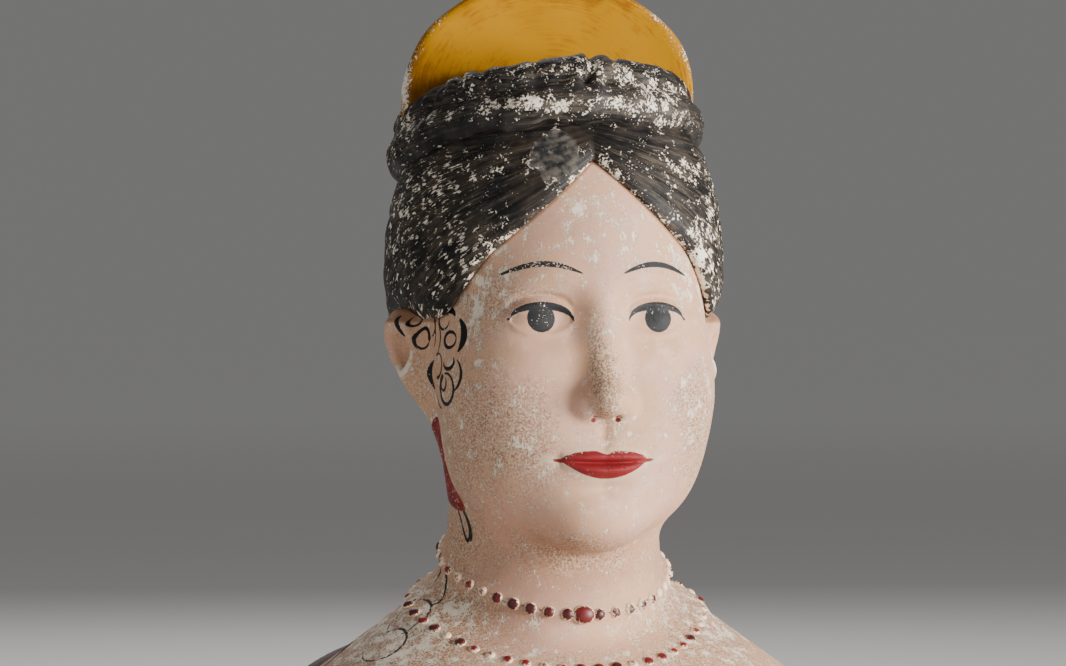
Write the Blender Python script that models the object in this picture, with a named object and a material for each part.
"""Bust of a ship figurehead: a woman with parted black hair, a twisted coil and a tall comb.

Metres, +Z up. The bust faces -Y and stands on its flat underside, the cut at Z = 0.
It is one carved block, so every form below is blended into a single closed body.
"""

import math

import bmesh
import bpy
import numpy as np
from mathutils import Matrix, Vector

# Figure: heights are above the underside, and forward means towards -Y
HEAD_HEIGHT = 0.247
NECK_FOOT_Z = 0.170
CHIN_Z = NECK_FOOT_Z + 0.009
HEAD_FORWARD = 0.014

# Neck, shoulders and chest
NECK_HALF_WIDTH = 0.0555
NECK_HALF_DEPTH = 0.0545
NECK_FORWARD = 0.018
NECK_TOP_Z = CHIN_Z + 0.33 * HEAD_HEIGHT
NECK_ROOT_Z = NECK_FOOT_Z - 0.100
NECK_ROUNDING = 0.030
SHOULDER_TOP_Z = NECK_FOOT_Z + 0.0065
SHOULDER_TOP_HALF_WIDTH = 0.042
SHOULDER_HALF_WIDTH = 0.193
SHOULDER_SLOPE = 1.36
SHOULDER_ROUNDING = 0.045
SHOULDER_FILLET = 0.007
BACK_HALF_DEPTH = 0.022
BACK_SLOPE = 0.45
CHEST_TOP_Z = SHOULDER_TOP_Z - 0.036
CHEST_SLOPE = 1.30
CHEST_HALF_DEPTH = 0.104
CHEST_ROUNDING = 0.050
CHEST_FORWARD = 0.008
TORSO_SQUARENESS = 2.25

# Dress: a raised edge of cloth off the shoulders
DRESS_THICKNESS = 0.0035
NECKLINE_SIDE_Z = NECK_FOOT_Z - 0.054
NECKLINE_DIP = 0.062

# Ear, as shares of the head: its middle off the midline, forward and above the chin
EAR_MIDDLE = (0.322, 0.030, 0.410)

# Thick coil of hair round the crown
COIL_Z = CHIN_Z + 0.919 * HEAD_HEIGHT
COIL_SHIFT = -0.0020
COIL_HALF_WIDTH = 0.2895 * HEAD_HEIGHT
COIL_HALF_DEPTH = 0.3158 * HEAD_HEIGHT
COIL_THICKNESS = 0.156 * HEAD_HEIGHT
COIL_TILT = math.radians(12.0)
COIL_ROLL = math.radians(3.0)
CREASE_WIDTH = 0.0026
CREASE_DEPTH = 0.0022
CREASES = ((-90, 1.0), (-52, 0.5), (-8, 0.5), (40, 0.5), (92, 0.6), (146, 0.5), (-156, 0.5), (-131, 0.9))

# Comb behind the coil
COMB_Z = COIL_Z + 0.019
COMB_HALF_WIDTH = 0.336 * HEAD_HEIGHT
COMB_RISE = 0.066
COMB_THICKNESS = 0.010
COMB_FOOT = 0.030
COMB_HOLLOW = 0.006
COMB_LEAN = math.radians(5.0)
COMB_SIDE_LEAN = math.radians(4.0)

# Bead strands: each lies where a plane that slopes back and sideways meets the skin
CHOKER_Z = NECK_FOOT_Z + 0.005
CHOKER_SLOPE = 0.415
CHOKER_SWAY = -0.022
STRAND_Z = CHOKER_Z - 0.0205
STRAND_SLOPE = 0.44
STRAND_SWAY = 0.0
STRANDS = ((CHOKER_Z, CHOKER_SLOPE, CHOKER_SWAY), (STRAND_Z, STRAND_SLOPE, STRAND_SWAY))
BEAD_RADIUS = 0.0031
BEAD_PITCH = 0.0100
STONE_RADIUS = 0.0062
BEAD_SIDES = 6
RIDGE_HEIGHT = 0.0020
RIDGE_HALF_WIDTH = 0.0050

# Earring, with its ends as shares of the head: off the midline, forward and above the chin
EARRING_TOP = (0.2834, 0.0810, 0.2672)
EARRING_LOW = (0.2348, 0.1053, 0.1154)
EARRING_RADIUS = 0.0068

# Fillets where forms meet
NECK_FILLET = 0.016
COLUMN_FILLET = 0.020
EAR_FILLET = 0.008
HAIR_FILLET = 0.004
COMB_FILLET = 0.004
COIL_FILLET = 0.003
EARRING_FILLET = 0.0015
DRESS_FILLET = 0.0008

# Skin of the block
CELL = 0.0030
TRIANGLES = 7200
HEAD = HEAD_HEIGHT


def smooth_min(a, b, blend):
    """Union of two forms with a fillet of about this size."""
    meet = np.maximum(blend - np.abs(a - b), 0.0) / blend
    return np.minimum(a, b) - meet * meet * blend * 0.25


def smooth_max(a, b, blend):
    """Common part of two forms with a rounded edge."""
    return -smooth_min(-a, -b, blend)


def softplus(x, width):
    """A straight ramp from zero whose foot is rounded over this width."""
    return width * np.logaddexp(0.0, x / width)


def ellipsoid(q, centre, radii):
    """Distance to an ellipsoid, good close to its surface."""
    p = q - np.asarray(centre)
    near = np.linalg.norm(p / np.asarray(radii), axis=-1)
    steep = np.linalg.norm(p / np.square(radii), axis=-1)
    return near * (near - 1.0) / np.maximum(steep, 1e-9)


def cone(q, start, end, r_start, r_end):
    """Distance to a round-ended bar that tapers from one radius to the other."""
    start, end = np.asarray(start), np.asarray(end)
    along = end - start
    share = np.clip((q - start) @ along / (along @ along), 0.0, 1.0)
    gap = np.linalg.norm(q - start - share[..., None] * along, axis=-1)
    return gap - (r_start + (r_end - r_start) * share)


def turned(q, centre, axes):
    """Points measured from a centre along three unit vectors."""
    return (q - np.asarray(centre)) @ np.asarray(axes).T


def ramp(x, start, end):
    """Smooth step from 0 at start to 1 at end."""
    t = np.clip((x - start) / (end - start), 0.0, 1.0)
    return t * t * (3.0 - 2.0 * t)


def head_frame(p):
    """Head coordinates: (distance from the midline, forward, height), with 1 from chin to crown."""
    return np.stack(
        [np.abs(p[..., 0]), -p[..., 1] - HEAD_FORWARD, p[..., 2] - CHIN_Z], axis=-1
    ) / HEAD


def skull(q):
    """Cranium, full oval face, jaw and chin, before the features are cut."""
    d = ellipsoid(q, (0, -0.025, 0.625), (0.330, 0.415, 0.375))
    face = ellipsoid(q, (0, 0.130, 0.375), (0.292, 0.275, 0.335))
    d = smooth_min(d, face, 0.10)
    cheek = ellipsoid(q, (0.140, 0.225, 0.330), (0.135, 0.150, 0.160))
    d = smooth_min(d, cheek, 0.10)
    jaw = ellipsoid(q, (0.085, 0.145, 0.165), (0.155, 0.205, 0.130))
    d = smooth_min(d, jaw, 0.12)
    chin = ellipsoid(q, (0, 0.315, 0.080), (0.100, 0.090, 0.080))
    return smooth_min(d, chin, 0.09)


def bump(u):
    """A rounded rise of height 1 at u = 0 that has faded at u = 2."""
    return np.exp(-np.square(u))


def eyes(q, d):
    """A soft socket under a low brow, and an eyeball between two lids."""
    x, z = q[..., 0], q[..., 2]
    socket = ellipsoid(q, (0.128, 0.440, 0.512), (0.095, 0.062, 0.052))
    d = smooth_max(d, -socket, 0.06)
    ball = ellipsoid(q, (0.128, 0.296, 0.497), (0.075, 0.078, 0.056))
    d = smooth_min(d, ball, 0.016)
    across = (x - 0.128) / 0.064
    open_share = np.sqrt(np.clip(1.0 - across * across, 0.0, 1.0))
    upper = z - (0.498 + 0.024 * open_share)
    lower = z - (0.498 - 0.017 * open_share)
    fade = bump(across * 0.85)
    lids = 0.0065 * bump((upper - 0.006) / 0.010) + 0.0035 * bump((lower + 0.005) / 0.009)
    crease = 0.0050 * bump((upper - 0.026) / 0.008)
    brow = 0.0060 * bump((z - 0.590 + 0.9 * np.square(x - 0.115)) / 0.030) * bump((x - 0.115) / 0.10)
    return d - (lids - crease) * fade - brow


def nose(q, d):
    """Straight bridge, rounded tip and small wings."""
    bridge = cone(q, (0, 0.350, 0.600), (0, 0.428, 0.352), 0.022, 0.031)
    d = smooth_min(d, bridge, 0.05)
    tip = ellipsoid(q, (0, 0.434, 0.333), (0.038, 0.044, 0.036))
    d = smooth_min(d, tip, 0.024)
    wing = ellipsoid(q, (0.042, 0.400, 0.320), (0.026, 0.036, 0.028))
    d = smooth_min(d, wing, 0.018)
    nostril = ellipsoid(q, (0.023, 0.425, 0.290), (0.012, 0.018, 0.010))
    return smooth_max(d, -nostril, 0.010)


def mouth(q, d):
    """Two soft closed lips on a low mound, with a groove above and a hollow below."""
    x, z = q[..., 0], q[..., 2]
    middle = np.sqrt(np.clip(1.0 - np.square(x / 0.096), 0.0, 1.0))
    line = z - (0.193 + 0.5 * x * x)
    mound = 0.024 * bump(x / 0.13) * bump((z - 0.200) / 0.085)
    upper = 0.009 * bump((line - 0.013 * middle) / 0.012) * middle
    lower = 0.011 * bump((line + 0.015 * middle) / 0.013) * middle * middle
    parting = 0.006 * bump(line / 0.005) * middle
    corner = 0.004 * bump((x - 0.100) / 0.014) * bump(line / 0.014)
    groove = 0.006 * bump(x / 0.014) * bump((z - 0.256) / 0.026)
    hollow = 0.010 * bump(x / 0.060) * bump((z - 0.136) / 0.020)
    return d - mound - upper - lower + parting + corner + groove + hollow


def ear_axes():
    """Unit vectors of the ear: towards its front edge, up its length and out of the head."""
    up = np.array((0.40, -0.30, 0.87))
    up /= np.linalg.norm(up)
    out = np.array((0.90, 0.38, -0.10))
    out -= up * (out @ up)
    out /= np.linalg.norm(out)
    return np.array((np.cross(out, up), up, out))


def ear(q):
    """A flat shell with a rolled rim, a hollow and a long lobe that runs into the jaw."""
    e = turned(q, EAR_MIDDLE, ear_axes())
    shell = ellipsoid(e, (0, 0.010, -0.010), (0.068, 0.112, 0.042))
    lobe = cone(e, (-0.004, -0.03, 0.008), (0.018, -0.135, 0.006), 0.040, 0.020)
    d = smooth_min(shell, lobe, 0.04)
    around = np.hypot(e[..., 0] / 0.044, (e[..., 1] - 0.030) / 0.066)
    rim = np.hypot((around - 1.0) * 0.052, e[..., 2] - 0.012) - 0.010
    d = smooth_min(d, rim, 0.012)
    hollow = ellipsoid(e, (0.0, 0.026, 0.026), (0.026, 0.046, 0.022))
    return smooth_max(d, -hollow, 0.012)


def hairline(q):
    """Positive where hair grows: above the parted front edge, over the ear and down to the nape."""
    x, forward, z = q[..., 0], q[..., 1], q[..., 2]
    front = z - (0.841 - 0.90 * x - 8.0 * np.square(np.maximum(x - 0.20, 0.0)))
    front = np.maximum(front, -forward)
    side = z - (0.500 + 0.30 * np.minimum(forward, 0.0))
    nape = np.minimum(z - 0.20 - 0.6 * x, -(forward + 0.09))
    return smooth_min(front, smooth_max(side, nape, 0.05), 0.03)


def hair(q, skin):
    """Hair that swells from its edge into two swags swept back from the parting."""
    back = ellipsoid(q, (0, -0.085, 0.610), (0.338, 0.385, 0.420))
    swag = ellipsoid(q, (0.110, 0.020, 0.625), (0.254, 0.330, 0.430))
    front = ellipsoid(q, (0.0, 0.020, 0.640), (0.300, 0.384, 0.385))
    d = smooth_min(smooth_min(back, swag, 0.08), front, 0.05)
    nape = ellipsoid(q, (0, -0.14, 0.32), (0.235, 0.20, 0.20))
    d = smooth_min(d, nape, 0.10)
    above = hairline(q)
    swell = skin - 0.006 - 0.75 * np.maximum(above, 0.0)
    d = smooth_max(d, swell, 0.02)
    return smooth_max(d, -above * 0.8, 0.008)


def coil_frame(p):
    """Points measured from the coil's centre, in its own tilted plane."""
    x, y, z = p[..., 0] - COIL_SHIFT, p[..., 1], p[..., 2] - COIL_Z
    side, rise = math.cos(COIL_ROLL), math.sin(COIL_ROLL)
    x, z = x * side + z * rise, z * side - x * rise
    side, rise = math.cos(COIL_TILT), math.sin(COIL_TILT)
    return x, y * side - z * rise, z * side + y * rise


def coil(p):
    """A thick ring of hair: one roll over another, with short creases across the upper one."""
    x, y, z = coil_frame(p)
    turn = np.arctan2(y / COIL_HALF_DEPTH, x / COIL_HALF_WIDTH)
    ring = np.hypot(COIL_HALF_WIDTH * np.cos(turn), COIL_HALF_DEPTH * np.sin(turn))
    out = np.hypot(x, y) - ring
    radius = COIL_THICKNESS * 0.5
    sway = 0.05 * np.sin(3 * turn + 0.6) + 0.03 * np.sin(7 * turn)
    upper = np.hypot(out + 0.14 * radius, z - (0.42 + sway) * radius) - 0.64 * radius
    lower = np.hypot(out - 0.14 * radius, z + (0.36 - sway) * radius) - 0.66 * radius
    d = smooth_min(upper, lower, 0.30 * radius)
    share = ramp(z / radius, -0.15, 0.35)
    for place, depth in CREASES:
        gap = np.mod(turn - math.radians(place) + math.pi, math.tau) - math.pi
        d = d + CREASE_DEPTH * depth * share * bump(gap * ring / CREASE_WIDTH)
    return d


def comb(p):
    """A tall half-round comb, hollowed towards the front and leaning back and a little sideways."""
    x, up = p[..., 0], p[..., 2] - COMB_Z
    sagitta = COMB_HOLLOW * np.square(x / COMB_HALF_WIDTH)
    forward = -p[..., 1] - sagitta + COMB_HOLLOW * 0.6 + up * math.tan(COMB_LEAN)
    across = x - np.maximum(up, 0.0) * math.tan(COMB_SIDE_LEAN)
    rise = np.where(up > 0, COMB_RISE, COMB_FOOT * 4.0)
    rim = np.hypot(across / COMB_HALF_WIDTH, up / rise)
    outline = (rim - 1.0) * COMB_RISE * 0.9
    outline = np.maximum(outline, -(up + COMB_FOOT))
    face = np.abs(forward) - COMB_THICKNESS * 0.5
    return smooth_max(outline, face, COMB_THICKNESS * 0.5)


def shoulder_reach(z):
    """Half width and half depth of the shoulders at each height."""
    below = softplus(SHOULDER_TOP_Z - z, SHOULDER_FILLET)
    width = SHOULDER_TOP_HALF_WIDTH + SHOULDER_SLOPE * below
    width = smooth_min(width, np.full_like(z, SHOULDER_HALF_WIDTH), SHOULDER_ROUNDING)
    depth = BACK_HALF_DEPTH + BACK_SLOPE * below
    depth = depth + CHEST_SLOPE * softplus(CHEST_TOP_Z - z, SHOULDER_FILLET)
    return width, smooth_min(depth, np.full_like(z, CHEST_HALF_DEPTH), CHEST_ROUNDING)


def neck(p):
    """A round column that runs from under the jaw down into the chest."""
    forward = (-p[..., 1] - NECK_FORWARD) / NECK_HALF_DEPTH
    side = (np.hypot(p[..., 0] / NECK_HALF_WIDTH, forward) - 1.0) * NECK_HALF_DEPTH
    side = smooth_max(side, p[..., 2] - NECK_TOP_Z, NECK_ROUNDING)
    return smooth_max(side, NECK_ROOT_Z - p[..., 2], NECK_ROUNDING)


def shoulders(p):
    """Sloping shoulders behind the neck that widen into back and chest."""
    z = p[..., 2]
    width, depth = shoulder_reach(z)
    forward = -p[..., 1] - CHEST_FORWARD * ramp(SHOULDER_TOP_Z - z, 0.0, 0.08)
    section = (
        np.abs(p[..., 0] / width) ** TORSO_SQUARENESS
        + np.abs(forward / depth) ** TORSO_SQUARENESS
    ) ** (1.0 / TORSO_SQUARENESS)
    side = (section - 1.0) * np.minimum(width, depth) * 0.8
    return smooth_max(side, z - SHOULDER_TOP_Z - 0.024, 0.02)


def torso(p):
    """Neck, shoulders and chest as one form."""
    return smooth_min(neck(p), shoulders(p), COLUMN_FILLET)


def neckline(p):
    """Positive below the edge of the dress, which dips at the front and less at the back."""
    dip = NECKLINE_DIP * np.clip((-p[..., 1] + 0.02) / CHEST_HALF_DEPTH, -0.5, 1.0)
    return (NECKLINE_SIDE_Z - dip) - p[..., 2]


def dress(p, skin):
    """Cloth laid on the skin below the neckline."""
    return smooth_max(skin - DRESS_THICKNESS, -neckline(p), DRESS_THICKNESS)


def ridge(p):
    """Height of the raised bands of skin that carry the two strands."""
    height = 0.0
    for level, slope, sway in STRANDS:
        gap = (p[..., 2] - level - slope * p[..., 1] - sway * p[..., 0]) / math.hypot(1.0, slope)
        height = height + RIDGE_HEIGHT * np.exp(-np.square(gap / RIDGE_HALF_WIDTH) * 1.5)
    return height


def strand_centres(level, slope, sway):
    """Bead centres where the strand's plane meets neck and chest, one pitch apart."""
    turns = np.linspace(-math.pi, math.pi, 721)
    out = np.stack([np.sin(turns), -np.cos(turns)], axis=-1)
    low, high = np.zeros(len(turns)), np.full(len(turns), SHOULDER_HALF_WIDTH)
    ring = np.zeros((len(turns), 3))
    for _ in range(30):
        middle = (low + high) / 2
        ring[:, :2] = out * middle[:, None] - (0, NECK_FORWARD)
        ring[:, 2] = level + slope * ring[:, 1] + sway * ring[:, 0]
        inside = torso(ring) < RIDGE_HEIGHT * 0.5
        low, high = np.where(inside, middle, low), np.where(inside, high, middle)
    length = np.concatenate([[0], np.cumsum(np.linalg.norm(np.diff(ring, axis=0), axis=1))])
    count = 2 * int(length[-1] / BEAD_PITCH / 2)
    places = (np.arange(count) / count) * length[-1]
    return np.stack([np.interp(places, length, ring[:, k]) for k in range(3)], axis=-1)


def bead_strands():
    """Centres and radii of every bead, with the large stone at the front of the choker."""
    choker, necklace = (strand_centres(*strand) for strand in STRANDS)
    front = choker[:, 1].argmin()
    beads = [(centre, BEAD_RADIUS) for k, centre in enumerate(choker) if k != front]
    beads.append((choker[front], STONE_RADIUS))
    return beads + [(centre, BEAD_RADIUS) for centre in necklace]


def earring(q):
    """A long drop with a waist that hangs from the lobe against the jaw and neck."""
    top, low = np.array(EARRING_TOP), np.array(EARRING_LOW)
    waist = top * 0.62 + low * 0.38
    radius = EARRING_RADIUS / HEAD
    hook = cone(q, top, waist, radius * 0.55, radius * 0.70)
    drop = cone(q, waist, low, radius * 0.60, radius)
    return smooth_min(hook, drop, 0.008)


def figure(p):
    """Distance to the surface of the whole carving."""
    q = head_frame(p)
    face = mouth(q, nose(q, eyes(q, skull(q))))
    body = torso(p)
    skin = smooth_min(face * HEAD, body, NECK_FILLET)
    locks = hair(q, skin / HEAD) * HEAD
    skin = smooth_min(skin, ear(q) * HEAD, EAR_FILLET)
    skin = skin - ridge(p)
    d = smooth_min(skin, dress(p, body), DRESS_FILLET)
    d = smooth_min(d, locks, HAIR_FILLET)
    d = smooth_min(d, comb(p), COMB_FILLET)
    d = smooth_min(d, coil(p), COIL_FILLET)
    return smooth_min(d, earring(q) * HEAD, EARRING_FILLET)


def sample(field, axes, block=6):
    """Field on the grid that the three axes span, worked out only in blocks near the surface."""
    starts = [np.arange(0, len(axis) - 1, block) for axis in axes]
    ends = [np.minimum(first + block, len(axis) - 1) for first, axis in zip(starts, axes)]
    middle = [(axis[i] + axis[j]) / 2 for axis, i, j in zip(axes, starts, ends)]
    half = [(axis[j] - axis[i]) / 2 for axis, i, j in zip(axes, starts, ends)]
    centres = np.stack(np.meshgrid(*middle, indexing="ij"), axis=-1)
    reach = np.linalg.norm(np.stack(np.meshgrid(*half, indexing="ij"), axis=-1), axis=-1)
    distance = field(centres)
    owner = [np.minimum(np.arange(len(axis)) // block, len(i) - 1) for axis, i in zip(axes, starts)]
    values = np.sign(distance)[np.ix_(*owner)]
    near = np.zeros(values.shape, bool)
    for i, j, k in np.argwhere(np.abs(distance) < reach * 1.7 + 0.004):
        near[starts[0][i]:ends[0][i] + 1, starts[1][j]:ends[1][j] + 1, starts[2][k]:ends[2][k] + 1] = True
    nodes = np.nonzero(near)
    points = np.stack([axis[n] for axis, n in zip(axes, nodes)], axis=-1)
    parts = np.array_split(points, max(1, len(points) // 100000))
    values[nodes] = np.concatenate([field(part) for part in parts])
    return values


def shifted(values, step):
    """The part of a grid that starts this many nodes along each axis, one node short of its end."""
    return values[tuple(slice(k, n - 1 + k) if k is not None else slice(None)
                        for k, n in zip(step, values.shape))]


def fill_pinches(values):
    """Fills the few places where the form would touch itself along one edge or at one point."""
    squares = [[(0, 0, None), (0, 1, None), (1, 0, None), (1, 1, None)],
               [(0, None, 0), (0, None, 1), (1, None, 0), (1, None, 1)],
               [(None, 0, 0), (None, 0, 1), (None, 1, 0), (None, 1, 1)]]
    cube = [(i, j, k) for i in (0, 1) for j in (0, 1) for k in (0, 1)]
    found = True
    while found:
        found = False
        for steps in squares + [cube]:
            views = [shifted(values, step) for step in steps]
            inside = np.array([view < 0 for view in views])
            if len(steps) == 4:
                pinched = (inside[0] == inside[3]) & (inside[1] == inside[2]) & (inside[0] != inside[1])
            else:
                opposite = (inside[:4] == inside[:3:-1]).all(axis=0)
                total = inside.sum(axis=0)
                pinched = opposite & ((total == 2) | (total == 6))
            for view in views:
                view[pinched] = np.minimum(view[pinched], -0.1 * CELL)
            found = found or bool(pinched.any())
    return values


def surface_net(values, axes):
    """Closed quad mesh where the field changes sign: one corner in each cell that it crosses."""
    inside = values < 0
    cells = tuple(n - 1 for n in values.shape)
    total = np.zeros(cells + (3,), np.float32)
    count = np.zeros(cells, np.int32)
    grid = np.meshgrid(*axes, indexing="ij")
    quads = []
    for axis in range(3):
        low = [slice(None)] * 3
        high = [slice(None)] * 3
        low[axis], high[axis] = slice(0, -1), slice(1, None)
        low, high = tuple(low), tuple(high)
        crossing = np.argwhere(inside[low] != inside[high])
        start = tuple(crossing.T)
        end = tuple((crossing + np.eye(3, dtype=int)[axis]).T)
        share = values[start] / (values[start] - values[end])
        point = np.stack([g[start] + share * (g[end] - g[start]) for g in grid], axis=-1)
        u, v = np.eye(3, dtype=int)[[(axis + 1) % 3, (axis + 2) % 3]]
        ring = np.stack([crossing, crossing - u, crossing - u - v, crossing - v], axis=1)
        for k in range(4):
            cell = tuple(ring[:, k].T)
            np.add.at(total, cell, point)
            np.add.at(count, cell, 1)
        flip = ~inside[start]
        ring[flip] = ring[flip][:, ::-1]
        quads.append(ring)
    used = count > 0
    number = np.full(cells, -1)
    number[used] = np.arange(used.sum())
    points = total[used] / count[used][:, None]
    faces = np.concatenate(quads)
    return points, number[tuple(faces.reshape(-1, 3).T)].reshape(-1, 4)


def grid_axes():
    """Grid lines around the block, a little past its cut at the underside."""
    half_width = SHOULDER_HALF_WIDTH + DRESS_THICKNESS + 2 * CELL
    half_depth = max(CHEST_HALF_DEPTH + CHEST_FORWARD + DRESS_THICKNESS, 0.55 * HEAD) + 2 * CELL
    top = COMB_Z + COMB_RISE + 4 * CELL
    return (
        np.arange(-half_width, half_width + CELL, CELL),
        np.arange(-half_depth, half_depth + CELL, CELL),
        np.arange(-4 * CELL, top, CELL),
    )


def build_material(name, colour, roughness, metallic=0.0):
    """A Principled material with one colour."""
    material = bpy.data.materials.new(name)
    material.use_nodes = True
    shader = material.node_tree.nodes["Principled BSDF"]
    shader.inputs["Base Color"].default_value = (*colour, 1.0)
    shader.inputs["Roughness"].default_value = roughness
    shader.inputs["Metallic"].default_value = metallic
    return material


def link(name, mesh):
    """A new object in the scene."""
    made = bpy.data.objects.new(name, mesh)
    bpy.context.scene.collection.objects.link(made)
    return made


def carve_block():
    """The carving as one closed mesh, thinned where it is smooth and cut flat below."""
    axes = grid_axes()
    field = lambda p: np.maximum(figure(p), -(p[..., 2] + 2.5 * CELL))
    points, faces = surface_net(fill_pinches(sample(field, axes)), axes)
    mesh = bpy.data.meshes.new("carving")
    mesh.from_pydata(points.tolist(), [], faces.tolist())
    carving = link("carving", mesh)
    bpy.context.view_layer.objects.active = carving
    triangles = 2 * len(faces)
    thin = carving.modifiers.new("thin", "DECIMATE")
    thin.ratio = TRIANGLES / triangles
    evaluated = carving.evaluated_get(bpy.context.evaluated_depsgraph_get())
    form = bmesh.new()
    form.from_mesh(evaluated.to_mesh())
    bpy.data.objects.remove(carving)
    bmesh.ops.bisect_plane(
        form, geom=form.verts[:] + form.edges[:] + form.faces[:],
        plane_co=(0, 0, 0), plane_no=(0, 0, -1), clear_outer=True,
    )
    rim = [edge for edge in form.edges if edge.is_boundary]
    bmesh.ops.contextual_create(form, geom=rim)
    bmesh.ops.recalc_face_normals(form, faces=form.faces)
    return form


def outward(point):
    """Unit vector straight out of neck or chest at a point."""
    step = 0.001 * np.eye(3)
    slope = torso(point + step) - torso(point - step)
    return Vector(slope / np.linalg.norm(slope))


def bead_cutter():
    """Every bead as a small six-sided dome that is joined to the block."""
    form = bmesh.new()
    for centre, radius in bead_strands():
        turn = outward(centre).to_track_quat("Z", "Y").to_matrix().to_4x4()
        bmesh.ops.create_cone(
            form, cap_ends=True, segments=BEAD_SIDES, depth=2.0 * radius,
            radius1=radius, radius2=0.45 * radius, matrix=Matrix.Translation(centre) @ turn,
        )
    mesh = bpy.data.meshes.new("beads")
    form.to_mesh(mesh)
    form.free()
    beads = link("beads", mesh)
    beads.hide_render = True
    beads.display_type = "WIRE"
    return beads


def main():
    for item in list(bpy.data.objects):
        bpy.data.objects.remove(item)
    form = carve_block()
    mesh = bpy.data.meshes.new("figurehead")
    form.to_mesh(mesh)
    form.free()
    mesh.shade_smooth()
    mesh.set_sharp_from_angle(angle=math.radians(50))
    mesh.materials.append(build_material("painted_wood", (0.60, 0.46, 0.37), 0.6))
    block = link("figurehead", mesh)
    join = block.modifiers.new("beads", "BOOLEAN")
    join.operation = "UNION"
    join.object = bead_cutter()


main()
